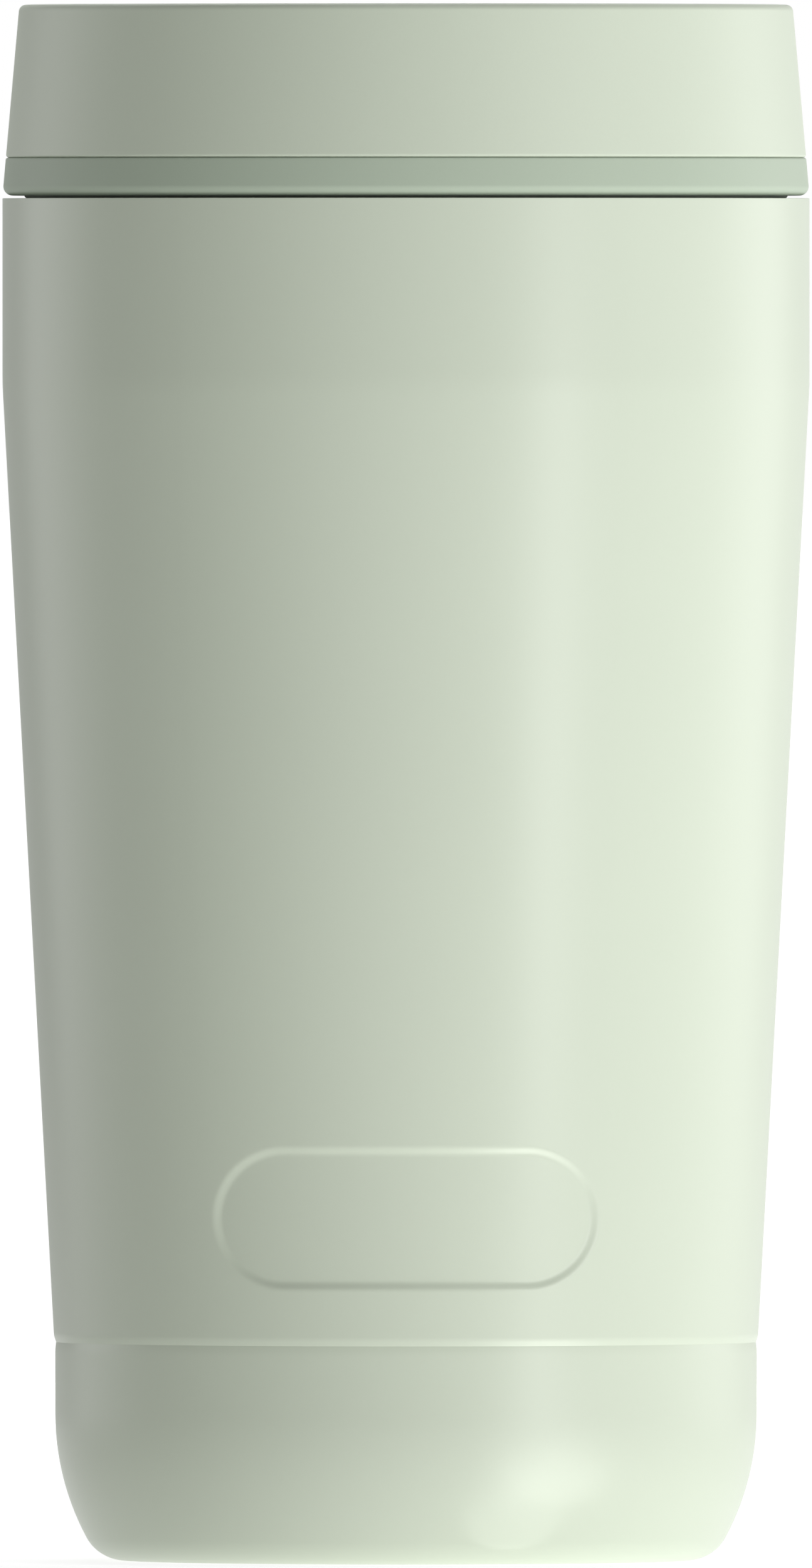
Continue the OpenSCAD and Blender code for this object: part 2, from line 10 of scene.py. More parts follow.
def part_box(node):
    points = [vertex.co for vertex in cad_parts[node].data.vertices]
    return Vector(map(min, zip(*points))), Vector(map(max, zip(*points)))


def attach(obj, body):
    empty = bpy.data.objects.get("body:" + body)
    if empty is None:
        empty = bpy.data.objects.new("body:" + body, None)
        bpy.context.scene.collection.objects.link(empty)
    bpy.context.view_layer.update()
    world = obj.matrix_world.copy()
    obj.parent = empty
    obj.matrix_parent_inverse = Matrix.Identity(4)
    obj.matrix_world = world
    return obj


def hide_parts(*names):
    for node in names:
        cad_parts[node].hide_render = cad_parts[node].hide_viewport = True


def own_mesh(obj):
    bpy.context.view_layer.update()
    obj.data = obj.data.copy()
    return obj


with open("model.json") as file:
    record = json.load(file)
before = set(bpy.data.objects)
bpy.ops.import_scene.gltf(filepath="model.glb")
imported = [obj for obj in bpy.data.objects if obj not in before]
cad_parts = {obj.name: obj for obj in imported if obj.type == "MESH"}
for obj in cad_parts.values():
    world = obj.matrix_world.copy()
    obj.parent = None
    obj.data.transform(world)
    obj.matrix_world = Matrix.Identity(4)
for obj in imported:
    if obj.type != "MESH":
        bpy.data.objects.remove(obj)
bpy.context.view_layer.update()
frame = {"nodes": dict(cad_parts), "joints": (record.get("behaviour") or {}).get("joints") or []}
scene = bpy.context.scene

# The tumbler's sizes are in millimetres, Blender's own units in metres
MM = 0.001


def low(node):
    """Lowest corner of a solid."""
    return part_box(node)[0] / MM


def high(node):
    """Highest corner of a solid."""
    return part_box(node)[1] / MM


# Cup, from its solids
CUP_R = high("outer_shell").x
RIM_Z = high("outer_shell").z
LAP_Z = low("outer_shell").z
BASE_R = high("base_cup").x
SEAM_Z = high("base_cup").z
COVER_R = high("base_cover").x
COVER_Z = low("base_cover").z
RECESS_Z = high("base_cover").z
VESSEL_Z = low("inner_vessel").z

# Cup, sheet thicknesses, steps and roundings
SHELL_WALL = 0.6
VESSEL_WALL = 0.5
VACUUM_GAP = 1.9
FIT_GAP = 0.05
STRAIGHT_H = 18
SHOULDER_R = 40
RIM_EDGE = 0.06
SEAM_STEP = 0.1
SEAM_BEVEL_W = 0.17
SEAM_BEVEL_H = 0.6
SEAM_BLEND = 2
SEAM_EASE_W = 0.08
SEAM_EASE_H = 0.5
SEAM_EASE_R = 6.2
FLOOR_CORNER = 10
MOUTH_R = 0.8
FLARE_H = 7.8
FLARE_W = 4.2
FOOT_CORNER = 4.2
RECESS_PLAY = 0.1
RECESS_EDGE = 0.5
PORT_R = 1.5
COVER_EDGE = 0.3
COVER_T = 0.6
COVER_RIM_W = 2.4

SEAM_R = BASE_R + SEAM_STEP
LAP_R = BASE_R - SHELL_WALL - FIT_GAP
SHOULDER_Z = RIM_Z - STRAIGHT_H
SHELL_SLOPE = (CUP_R - SEAM_R) / (SHOULDER_Z - SEAM_Z)
NECK_R = CUP_R - SHELL_WALL - VACUUM_GAP - VESSEL_WALL
FLOOR_Z = VESSEL_Z + VESSEL_WALL
RECESS_R = COVER_R + RECESS_PLAY

# Panel pressed into the front of the shell
PANEL_W = 36.5
PANEL_H = 13
PANEL_Z = 33.4
PANEL_DEPTH = 0.3
PANEL_EDGE_W = 0.9
PANEL_MARGIN = 1
PANEL_STEP = 0.2

# Lid, from its solids
BAND_Z = low("lid_band").z
BAND_TOP_Z = high("lid_band").z
LID_TOP_Z = high("lid_cap").z
DISH_Z = high("lid_body").z
PLUG_Z = low("lid_body").z
FLANGE_R = high("lid_body").x
GASKET_R = high("rim_gasket").x
GASKET_TOP_Z = high("rim_gasket").z
SPIDER_R = high("valve_spider").x
BUTTON_R = high("push_button").x
BUTTON_TOP_Z = high("push_button").z
SKIRT_Z = low("push_button").z
SPRING_Z = low("return_spring").z
SPRING_TOP_Z = high("return_spring").z
SPRING_OUT_R = high("return_spring").x

# Lid, walls, steps and roundings
LID_TAPER = math.radians(5.07)
BAND_EDGE = 0.9
BAND_TOP_EDGE = 0.2
CAP_LOW_EDGE = 0.3
LIP_W = 2.4
LIP_OUTER_EDGE = 0.7
LIP_INNER_EDGE = 1
CAP_WALL = 1.8
CAP_CORE_W = 0.7
DISH_WALL = 1.55
CAP_W = 5.65
DISH_FALL = 0.6
DISH_FLOOR = 1.8
PLUG_WALL = 2.2
COLLAR_PLAY = 0.7
COLLAR_H = 1.5
PLAIN_EDGE = 0.3
SOFT_EDGE = 0.5
FULL_EDGE = 0.8
SEAT_DROP = 2.5
SEAT_W = 3
SEAT_LIP_W = 0.8
SEAT_LIP_T = 0.4
SKIRT_WALL = 1.9
BUTTON_T = 1.5
BUTTON_HOLLOW = 0.5
HOLLOW_RIM_W = 3.2
HOLLOW_BLEND = 6
BUTTON_EDGE = 1.2
BOSS_R = 3.7
BOSS_SOCKET_R = 2.55
BOSS_Z = 141.8
SOCKET_TOP_Z = 145.7
WIRE_D = 0.9
SPRING_TURNS = 5.5

LID_SLOPE = math.tan(LID_TAPER)
DISH_R = CUP_R - LID_SLOPE * (BAND_TOP_Z - BAND_Z) - CAP_W
LIP_R = CUP_R - LID_SLOPE * (LID_TOP_Z - BAND_Z)
SEAT_IN_R = SPIDER_R + FIT_GAP
SEAT_OUT_R = SEAT_IN_R + SEAT_W
SEAT_Z = BAND_TOP_Z - SEAT_DROP

# Thread of the lid and the neck
THREAD_H = 1.4
THREAD_PLAY = 0.4
THREAD_LEAD = 12
THREAD_STARTS = 3
THREAD_ARC = math.radians(100)
THREAD_SETBACK = 0.8
RIDGE_ROOT_W = 1.5
RIDGE_CREST_W = 0.7
RIDGE_SUNK = 0.25
RIDGE_END_SHARE = 0.25
RIDGE_EASE = math.radians(15)
RIDGE_STEPS = 60
RIDGE_EDGE = 0.18
RIDGE_EDGE_STEPS = 3

PLUG_R = NECK_R - THREAD_H - THREAD_PLAY
PLUG_IN_R = PLUG_R - PLUG_WALL
COLLAR_R = NECK_R - COLLAR_PLAY
RIDGE_Z = PLUG_Z + RIDGE_ROOT_W / 2 + THREAD_SETBACK

# Fineness of the meshes
TURN_STEPS = 192
BACK_STEPS = 120
ARC_ERROR = 0.004
STRAIGHT = math.radians(179.9)
MERGE = 1e-6
CREASE = math.radians(30)
WIRE_SIDES = 14
COIL_STEPS = 40

# Colours as linear light
SAGE = (0.545, 0.603, 0.492)
CAP_SAGE = (0.560, 0.621, 0.506)
DARK_SAGE = (0.412, 0.484, 0.385)
STEEL = (0.60, 0.60, 0.59)
COPPER = (0.80, 0.40, 0.22)
GETTER_GREY = (0.20, 0.20, 0.21)
BRAZE = (0.52, 0.51, 0.47)
PAD_SAGE = (0.20, 0.24, 0.19)
GASKET_SAGE = (0.26, 0.30, 0.245)
ACETAL = (0.74, 0.74, 0.70)
WIRE = (0.50, 0.50, 0.51)

# Turned lines: the least radius that they are drawn at, and the detail of their noise
LINES_LEAST_R = 0.01
LINES_DETAIL = 3.0

# Floor and world, in metres. A brightness of 1 shows a colour as it is written
FLOOR_R = 40
FLOOR_COLOUR = 0.9
FLOOR_BOUNCE = 0.45
FLOOR_LIGHT = 1.5
FLOOR_GLOW = (0.18, 1.68)
FLOOR_GLOW_RIGHT = 0.85
FLOOR_GLOW_FRONT = 0.5
FLOOR_GLOW_RUN = (-0.075, 0.085)
FLOOR_FADE = (1, 0.76)
FLOOR_FADE_RUN = (0.1, 0.6)
FLOOR_WHITE = (0.54, 0.72)
FLOOR_WHITE_RUN = (0.3, 1.2)
SKY_GLOW = 0.10
SKY_WHITE = 1.0

# Grey cards behind the tumbler, beam from above, and cards on the floor, in metres
FLAG_IN_X = 0.06
FLAG_OUT_X = 0.5
FLAG_BACK = 0.5
FLAG_H = 0.5
BEAM_Z = 1.2
BEAM_POWER = 14
BEAM_R = 0.05
BEAM_ANGLE = math.radians(5.2)
BEAM_BLEND = 0.5
STRIP_Z = 0.0575
GLINT_Z = 0.0005
GLINT_SHARES = (1, 0.7, 0.4)
MIDDLE_Z = LID_TOP_Z / 2 * MM

# Camera at the photograph's viewing angle: far off, a little below the rim's height
CAMERA_PLACE = (0, -7.42, 0.120)
CAMERA_TARGET = (0, 0, 0.075)
CAMERA_LENS = 860
SENSOR_W = 36
SENSOR_H = 17.56


class Value:
    """One output in a node tree. Arithmetic on it adds Math nodes."""

    def __init__(self, nodes, socket):
        self.nodes = nodes
        self.socket = socket

    def __add__(self, other):
        return self.nodes.math("ADD", self, other)

    def __radd__(self, other):
        return self.nodes.math("ADD", other, self)

    def __sub__(self, other):
        return self.nodes.math("SUBTRACT", self, other)

    def __rsub__(self, other):
        return self.nodes.math("SUBTRACT", other, self)

    def __mul__(self, other):
        return self.nodes.math("MULTIPLY", self, other)

    def __rmul__(self, other):
        return self.nodes.math("MULTIPLY", other, self)

    def __truediv__(self, other):
        return self.nodes.math("DIVIDE", self, other)

    def __rtruediv__(self, other):
        return self.nodes.math("DIVIDE", other, self)

    def __pow__(self, other):
        return self.nodes.math("POWER", self, other)


class Nodes:
    """The node tree of a material or of the world."""

    def __init__(self, owner):
        owner.use_nodes = True
        self.tree = owner.node_tree
        self.tree.nodes.clear()

    def make(self, kind, settings, inputs, output=None):
        """Adds a node, sets it up, and gives back the named output, or else its first."""
        node = self.tree.nodes.new(kind)
        for name, value in settings.items():
            setattr(node, name, value)
        sockets = {socket.identifier: socket for socket in node.inputs}
        for name, value in inputs.items():
            if isinstance(value, Value):
                self.tree.links.new(value.socket, sockets[name])
            else:
                sockets[name].default_value = value
        outputs = {socket.identifier: socket for socket in node.outputs}
        first = next(iter(node.outputs), None)
        return Value(self, outputs[output] if output else first)

    def math(self, operation, first, second):
        return self.make("ShaderNodeMath", {"operation": operation}, {"Value": first, "Value_001": second})

    def mix(self, share, first, second):
        """Goes from the first shader to the second as the share goes from 0 to 1."""
        return self.make("ShaderNodeMixShader", {}, {"Fac": share, "Shader": first, "Shader_001": second})

    def seen(self):
        """1 for rays that show a surface, straight or by reflection, and 0 for its light on others."""
        kinds = ("Is Camera Ray", "Is Glossy Ray", "Is Transmission Ray")
        camera, glossy, through = (self.make("ShaderNodeLightPath", {}, {}, kind) for kind in kinds)
        return self.math("MAXIMUM", camera, self.math("MAXIMUM", glossy, through))


class Finish(Nodes):
    """A material and the patterns that its finish is made of. Sizes are in millimetres."""

    def __init__(self, name):
        self.material = bpy.data.materials.new(name)
        super().__init__(self.material)
        self.place = self.make("ShaderNodeTexCoord", {}, {}, "Object")

    def coordinate(self, axis):
        """One coordinate of a place on the piece, in metres."""
        return self.make("ShaderNodeSeparateXYZ", {}, {"Vector": self.place}, axis)

    def grain(self, size, detail=2.0):
        """Soft random mottle, from 0 to 1, whose patches are about this wide."""
        return self.make(
            "ShaderNodeTexNoise", {},
            {"Vector": self.place, "Scale": 1 / (size * MM), "Detail": detail},
        )

    def turning_lines(self, width, length):
        """Lines left by brushing or turning round the axis, this wide and about this long."""
        x, y, z = (self.coordinate(axis) for axis in "XYZ")
        radius = (x * x + y * y) ** 0.5 + LINES_LEAST_R * MM
        across = (z + radius) / (width * MM)
        round_x, round_y = (side / radius * (CUP_R / length) for side in (x, y))
        lines = self.make("ShaderNodeCombineXYZ", {}, {"X": across, "Y": round_x, "Z": round_y})
        return self.make("ShaderNodeTexNoise", {}, {"Vector": lines, "Scale": 1.0, "Detail": LINES_DETAIL})

    def creases(self, size):
        """Straight creases round patches that are about this wide."""
        return self.make(
            "ShaderNodeTexVoronoi", {"feature": "DISTANCE_TO_EDGE"},
            {"Vector": self.place, "Scale": 1 / (size * MM)},
        )

    def ramp(self, value, run, ends):
        """Goes smoothly from one end to the other while the value makes its run."""
        return self.make(
            "ShaderNodeMapRange", {"interpolation_type": "SMOOTHSTEP"},
            {"Value": value, "From Min": run[0], "From Max": run[1], "To Min": ends[0], "To Max": ends[1]},
        )

    def tint(self, pattern, colour, spread):
        """The colour, darker and lighter by this share with the pattern."""
        dark, light = ([c * (1 + side * spread) for c in colour] + [1] for side in (-1, 1))
        return self.make(
            "ShaderNodeMix", {"data_type": "RGBA"},
            {"Factor_Float": pattern, "A_Color": dark, "B_Color": light}, "Result_Color",
        )

    def relief(self, pattern, depth):
        """The surface normal of a pattern that stands this high."""
        return self.make("ShaderNodeBump", {}, {"Height": pattern, "Strength": 1.0, "Distance": depth * MM})

    def shown(self, shader):
        """The material, with this shader on its surface."""
        self.make("ShaderNodeOutputMaterial", {}, {"Surface": shader})
        return self.material

    def surface(self, inputs):
        """The material, with these values of its one shader."""
        return self.shown(self.make("ShaderNodeBsdfPrincipled", {}, inputs))


def satin_paint(name, colour):
    """Sprayed and baked paint: even colour, soft gloss, a trace of orange peel."""
    paint = Finish(name)
    cloud = paint.grain(size=30)
    peel = paint.grain(size=1.8, detail=1.0)
    dust = paint.grain(size=0.3)
    return paint.surface({
        "Base Color": paint.tint(0.7 * cloud + 0.3 * dust, colour, spread=0.025),
        "Roughness": 0.31 + 0.05 * cloud + 0.03 * dust,
        "IOR": 1.46,
        "Normal": paint.relief(peel + 0.12 * dust, depth=0.004),
    })


def moulded_plastic(name, colour, roughness, gloss):
    """Moulded plastic with the fine spark-eroded grain of its mould and faint flow clouds."""
    plastic = Finish(name)
    flow = plastic.grain(size=22)
    spark = plastic.grain(size=0.22, detail=1.0)
    return plastic.surface({
        "Base Color": plastic.tint(0.6 * flow + 0.4 * spark, colour, spread=0.03),
        "Roughness": roughness + 0.05 * flow + 0.04 * spark,
        "IOR": 1.49,
        "Specular IOR Level": gloss,
        "Normal": plastic.relief(spark + 0.8 * flow, depth=0.0025),
    })


def brushed_steel(name, colour):
    """Steel brushed round its axis."""
    steel = Finish(name)
    fine = steel.turning_lines(width=0.08, length=14)
    broad = steel.turning_lines(width=0.9, length=60)
    smear = steel.grain(size=12)
    return steel.surface({
        "Base Color": steel.tint(0.5 * fine + 0.3 * broad + 0.2 * smear, colour, spread=0.10),
        "Metallic": 1.0,
        "Roughness": 0.24 + 0.08 * fine + 0.06 * smear,
        "Normal": steel.relief(fine + 0.6 * broad, depth=0.0022),
    })


def soft_silicone(name, colour):
    """Matt silicone rubber, with the bloom that gathers on it."""
    rubber = Finish(name)
    bloom = rubber.grain(size=5, detail=3.0)
    pores = rubber.grain(size=0.18)
    return rubber.surface({
        "Base Color": rubber.tint(0.7 * bloom + 0.3 * pores, colour, spread=0.12),
        "Roughness": 0.52 + 0.12 * bloom,
        "Normal": rubber.relief(pores + 0.5 * bloom, depth=0.003),
        "Sheen Weight": 0.08,
    })


def creased_foil(name, colour):
    """Thin copper foil, creased where it was wrapped."""
    foil = Finish(name)
    crease = foil.creases(size=7)
    stain = foil.grain(size=9, detail=3.0)
    return foil.surface({
        "Base Color": foil.tint(stain, colour, spread=0.12),
        "Metallic": 1.0,
        "Roughness": 0.22 + 0.12 * stain,
        "Normal": foil.relief(crease + 0.4 * stain, depth=0.12),
    })


def pressed_powder(name, colour):
    """Sintered metal powder: dull and grainy."""
    powder = Finish(name)
    crumbs = powder.grain(size=0.25, detail=3.0)
    return powder.surface({
        "Base Color": powder.tint(crumbs, colour, spread=0.3),
        "Metallic": 0.7,
        "Roughness": 0.6 + 0.2 * crumbs,
        "Normal": powder.relief(crumbs, depth=0.02),
    })


def flowed_braze(name, colour):
    """A braze bead that ran and set."""
    braze = Finish(name)
    run = braze.grain(size=1.2)
    return braze.surface({
        "Base Color": braze.tint(run, colour, spread=0.1),
        "Metallic": 1.0,
        "Roughness": 0.3 + 0.15 * run,
        "Normal": braze.relief(run, depth=0.03),
    })


def acetal(name, colour):
    """Natural acetal, slick from running against its mates."""
    plastic = Finish(name)
    rubbed = plastic.turning_lines(width=0.15, length=8)
    flow = plastic.grain(size=3)
    return plastic.surface({
        "Base Color": plastic.tint(flow, colour, spread=0.03),
        "Roughness": 0.26 + 0.12 * rubbed + 0.06 * flow,
        "Normal": plastic.relief(rubbed, depth=0.002),
    })


def drawn_wire(name, colour):
    """Bright drawn spring wire."""
    wire = Finish(name)
    scuff = wire.grain(size=0.6, detail=3.0)
    return wire.surface({
        "Base Color": wire.tint(scuff, colour, spread=0.12),
        "Metallic": 1.0,
        "Roughness": 0.2 + 0.15 * scuff,
        "Normal": wire.relief(scuff, depth=0.003),
    })


def smooth(share):
    """Eases a share in and out, from 0 or less to 1 or more."""
    ease = min(1, max(0, share))
    return ease * ease * (3 - 2 * ease)


def sheet(path, wall):
    """The closed outline of a sheet of even thickness whose metal lies to the right of a path."""
    points = [Vector(p[:2]) for p in path]
    runs = [(b - a).normalized() for a, b in zip(points, points[1:])]
    sides = [Vector((run.y, -run.x)) for run in runs]
    back = []
    for i, (point, corner) in enumerate(zip(points, path)):
        before = sides[max(i - 1, 0)]
        after = sides[min(i, len(sides) - 1)]
        moved = point + (before + after) * wall / (1 + before.dot(after))
        inner = 0 < i < len(path) - 1 and corner[2] > 0
        turn = wall if inner and runs[i - 1].cross(runs[i]) > 0 else -wall
        back.append((moved.x, moved.y, max(0, corner[2] + turn) if inner else 0))
    return list(path) + back[::-1]


def profile(corners, closed=True):
    """Starts a mesh with an outline of [radius, height, rounding] corners, its arcs spun."""
    bm = bmesh.new()
    count = len(corners)
    first = last = None
    for i, (radius, height, rounding) in enumerate(corners):
        here = Vector((radius, height))
        arc = None
        if rounding and (closed or 0 < i < count - 1):
            to_before = (Vector(corners[i - 1][:2]) - here).normalized()
            to_after = (Vector(corners[(i + 1) % count][:2]) - here).normalized()
            opening = to_before.angle(to_after)
            if opening < STRAIGHT:
                centre = here + (to_before + to_after).normalized() * rounding / math.sin(opening / 2)
                arc = math.copysign(math.pi - opening, to_after.cross(to_before))
                here = here + to_before * rounding / math.tan(opening / 2)
        start = bm.verts.new((here.x * MM, 0, here.y * MM))
        if last:
            bm.edges.new((last, start))
        first = first or start
        last = start
        if arc:
            step = 2 * math.acos(1 - min(1, ARC_ERROR / rounding))
            spun = bmesh.ops.spin(
                bm, geom=[start], cent=(centre.x * MM, 0, centre.y * MM), axis=(0, -1, 0),
                angle=arc, steps=max(2, math.ceil(abs(arc) / step)),
            )
            last = next(v for v in spun["geom_last"] if isinstance(v, bmesh.types.BMVert))
    if closed:
        bm.edges.new((last, first))
    return bm


def close_up(bm):
    """Merges seams and poles, and turns every face outwards."""
    bmesh.ops.remove_doubles(bm, verts=bm.verts[:], dist=MERGE)
    bmesh.ops.recalc_face_normals(bm, faces=bm.faces[:])


def turned(corners, closed=True):
    """A piece turned about the axis from an outline."""
    bm = profile(corners, closed)
    bmesh.ops.spin(
        bm, geom=bm.verts[:] + bm.edges[:], cent=(0, 0, 0), axis=(0, 0, 1),
        angle=math.tau, steps=TURN_STEPS, use_merge=True,
    )
    close_up(bm)
    return bm


def coiled(bm, section, turn, climb, steps):
    """Spins a section's loop of edges up a coil and closes both ends."""
    loop = bm.edges[:]
    spun = bmesh.ops.spin(
        bm, geom=section + loop, cent=(0, 0, 0), axis=(0, 0, 1),
        dvec=(0, 0, climb * MM / steps), angle=turn, steps=steps,
    )
    for end in (loop, [e for e in spun["geom_last"] if isinstance(e, bmesh.types.BMEdge)]):
        bmesh.ops.edgeloop_fill(bm, edges=end)


def bearing(vert):
    """Angle of a vertex round the axis."""
    return math.atan2(vert.co.y, vert.co.x)


def ridge_mesh(root_r, crest_r, z):
    """One ridge of a screw thread: a section spun up its rise, round at the crest and low at both ends."""
    bm = bmesh.new()
    section = [
        bm.verts.new((r * MM, 0, (z + half * side) * MM))
        for r, half, side in (
            (root_r, RIDGE_ROOT_W / 2, -1), (crest_r, RIDGE_CREST_W / 2, -1),
            (crest_r, RIDGE_CREST_W / 2, 1), (root_r, RIDGE_ROOT_W / 2, 1),
        )
    ]
    for pair in zip(section, section[1:] + section[:1]):
        bm.edges.new(pair)
    coiled(bm, section, THREAD_ARC, THREAD_LEAD * THREAD_ARC / math.tau, RIDGE_STEPS)
    crest = [
        e for e in bm.edges
        if all(abs(v.co.xy.length - crest_r * MM) < MERGE for v in e.verts)
        and abs(bearing(e.verts[0]) - bearing(e.verts[1])) > MERGE
    ]
    bmesh.ops.bevel(
        bm, geom=crest, offset=RIDGE_EDGE * MM, affect="EDGES", segments=RIDGE_EDGE_STEPS,
        profile=0.5, material=-1,
    )
    for v in bm.verts:
        share = smooth(min(bearing(v), THREAD_ARC - bearing(v)) / RIDGE_EASE)
        height = v.co.xy.length - root_r * MM
        kept = height * (RIDGE_END_SHARE + (1 - RIDGE_END_SHARE) * share)
        v.co.xy *= (root_r * MM + kept) / v.co.xy.length
    close_up(bm)
    return bm


def add_ridges(bm, wall_r, crest_r, z):
    """Adds the ridges of a screw thread to a wall, in which their roots are sunk."""
    root_r = wall_r + math.copysign(RIDGE_SUNK, wall_r - crest_r)
    for start in range(THREAD_STARTS):
        ridge = ridge_mesh(root_r, crest_r, z)
        ridge.transform(Matrix.Rotation(start * math.tau / THREAD_STARTS, 4, "Z"))
        part = bpy.data.meshes.new("ridge")
        ridge.to_mesh(part)
        ridge.free()
        bm.from_mesh(part)
        bpy.data.meshes.remove(part)


def made_of(bm, name, finish):
    """Makes an object of a mesh and its material."""
    mesh = bpy.data.meshes.new(name)
    bm.to_mesh(mesh)
    bm.free()
    mesh.materials.append(finish)
    made = bpy.data.objects.new(name, mesh)
    scene.collection.objects.link(made)
    return made


def piece(bm, name, finish, body, node):
    """Makes a finished piece that stands for a solid and moves with its body."""
    for edge in bm.edges:
        edge.smooth = edge.calc_face_angle(0) < CREASE
    for face in bm.faces:
        face.smooth = True
    made = made_of(bm, name, finish)
    shading = made.modifiers.new("even shading", "WEIGHTED_NORMAL")
    shading.keep_sharp = True
    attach(made, body)
    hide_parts(node)
    return made


def panel_share(x, z):
    """How far the panel is pressed in at a place on the front, from 0 outside it to 1 inside."""
    half_w = PANEL_W / 2 - PANEL_H / 2
    beside = max(0, abs(x) - half_w)
    outside = math.hypot(beside, z - PANEL_Z) - PANEL_H / 2
    return smooth(0.5 - outside / PANEL_EDGE_W)


def shell_mesh():
    """The shell, with a finer mesh on its front where the panel is pressed in."""
    bm = profile(sheet([
        (CUP_R, RIM_Z, RIM_EDGE),
        (CUP_R, SHOULDER_Z, SHOULDER_R),
        (SEAM_R + SHELL_SLOPE * SEAM_BEVEL_H, SEAM_Z + SEAM_BEVEL_H, SEAM_BLEND),
        (SEAM_R - SEAM_BEVEL_W, SEAM_Z, 0),
        (LAP_R, SEAM_Z, 0),
        (LAP_R, LAP_Z, 0),
    ], SHELL_WALL))
    reach = PANEL_H / 2 + PANEL_MARGIN
    for i in range(math.ceil(2 * reach / PANEL_STEP) + 1):
        z = PANEL_Z - reach + i * PANEL_STEP
        bmesh.ops.bisect_plane(
            bm, geom=bm.verts[:] + bm.edges[:], dist=MERGE, plane_co=(0, 0, z * MM), plane_no=(0, 0, 1),
        )
    panel_r = SEAM_R + SHELL_SLOPE * (PANEL_Z - reach - SEAM_Z)
    half = math.asin((PANEL_W / 2 + PANEL_MARGIN) / panel_r)
    bm.transform(Matrix.Rotation(-math.pi / 2 - half, 4, "Z"))
    front_steps = math.ceil(2 * half * panel_r / PANEL_STEP)
    last = bm.verts[:] + bm.edges[:]
    for angle, steps in ((2 * half, front_steps), (math.tau - 2 * half, BACK_STEPS)):
        spun = bmesh.ops.spin(bm, geom=last, cent=(0, 0, 0), axis=(0, 0, 1), angle=angle, steps=steps)
        last = spun["geom_last"]
    close_up(bm)
    for v in bm.verts:
        if v.co.y < 0:
            share = panel_share(v.co.x / MM, v.co.z / MM)
            v.co.xy -= v.co.xy.normalized() * PANEL_DEPTH * share * MM
    return bm


def base_mesh():
    """The base cup, which turns in at its foot and up into the recess of its cover."""
    flare = math.atan2(FLARE_W, FLARE_H)
    foot_run = FOOT_CORNER * math.tan((math.pi / 2 - flare) / 2)
    bend = (math.hypot(FLARE_W, FLARE_H) - foot_run) / math.tan(flare / 2)
    return turned(sheet([
        (BASE_R - SEAM_EASE_W, SEAM_Z, 0),
        (BASE_R, SEAM_Z - SEAM_EASE_H, SEAM_EASE_R),
        (BASE_R, FLARE_H, bend),
        (BASE_R - FLARE_W, 0, FOOT_CORNER),
        (RECESS_R, 0, RECESS_EDGE),
        (RECESS_R, RECESS_Z, 0),
        (PORT_R, RECESS_Z, 0),
    ], SHELL_WALL))


def cover_mesh():
    """The cover in the base's recess, a disc with a raised rim."""
    top_z = COVER_Z + COVER_T
    return turned([
        (0, COVER_Z, 0),
        (COVER_R, COVER_Z, COVER_EDGE),
        (COVER_R, RECESS_Z, 0),
        (COVER_R - COVER_RIM_W, RECESS_Z, 0),
        (COVER_R - COVER_RIM_W, top_z, 0),
        (0, top_z, 0),
    ], closed=False)


def vessel_mesh():
    """The vessel, from its floor to the mouth that meets the shell, with the neck's thread."""
    floor_r = CUP_R - SHELL_SLOPE * (SHOULDER_Z - FLOOR_Z) - (CUP_R - NECK_R)
    bm = turned(sheet([
        (0, FLOOR_Z, 0),
        (floor_r, FLOOR_Z, FLOOR_CORNER),
        (NECK_R, SHOULDER_Z, SHOULDER_R),
        (NECK_R, RIM_Z, MOUTH_R),
        (CUP_R - SHELL_WALL - FIT_GAP, RIM_Z, 0),
    ], VESSEL_WALL), closed=False)
    add_ridges(bm, NECK_R, NECK_R - THREAD_H, RIDGE_Z + THREAD_LEAD / THREAD_STARTS / 2)
    return bm


def lid_r(z):
    """Outer radius of the lid at a height."""
    return CUP_R - LID_SLOPE * (z - BAND_Z)


def cap_mesh():
    """The cap: the lid's outer wall, its lip and the wall of the dish, hollow below."""
    wall_slope = (LIP_R - LIP_W - DISH_R) / (LID_TOP_Z - DISH_Z)
    spare = lid_r(DISH_Z) - CAP_WALL - DISH_R - DISH_WALL - CAP_CORE_W
    core_z = DISH_Z + spare / (wall_slope + LID_SLOPE)
    core_r = lid_r(core_z) - CAP_WALL
    return turned([
        (lid_r(BAND_TOP_Z), BAND_TOP_Z, CAP_LOW_EDGE),
        (LIP_R, LID_TOP_Z, LIP_OUTER_EDGE),
        (LIP_R - LIP_W, LID_TOP_Z, LIP_INNER_EDGE),
        (DISH_R, DISH_Z, 0),
        (DISH_R + DISH_WALL, DISH_Z, 0),
        (core_r - CAP_CORE_W, core_z, 0),
        (core_r, core_z, 0),
        (lid_r(BAND_TOP_Z) - CAP_WALL, BAND_TOP_Z, 0),
    ])


def band_mesh():
    """The dark band, stepped inside for the plug's flange and the gasket."""
    return turned([
        (lid_r(BAND_Z), BAND_Z, BAND_EDGE),
        (lid_r(BAND_TOP_Z), BAND_TOP_Z, BAND_TOP_EDGE),
        (FLANGE_R + FIT_GAP, BAND_TOP_Z, 0),
        (FLANGE_R + FIT_GAP, GASKET_TOP_Z - FIT_GAP, 0),
        (GASKET_R + FIT_GAP, GASKET_TOP_Z - FIT_GAP, 0),
        (GASKET_R + FIT_GAP, BAND_Z, PLAIN_EDGE),
    ])


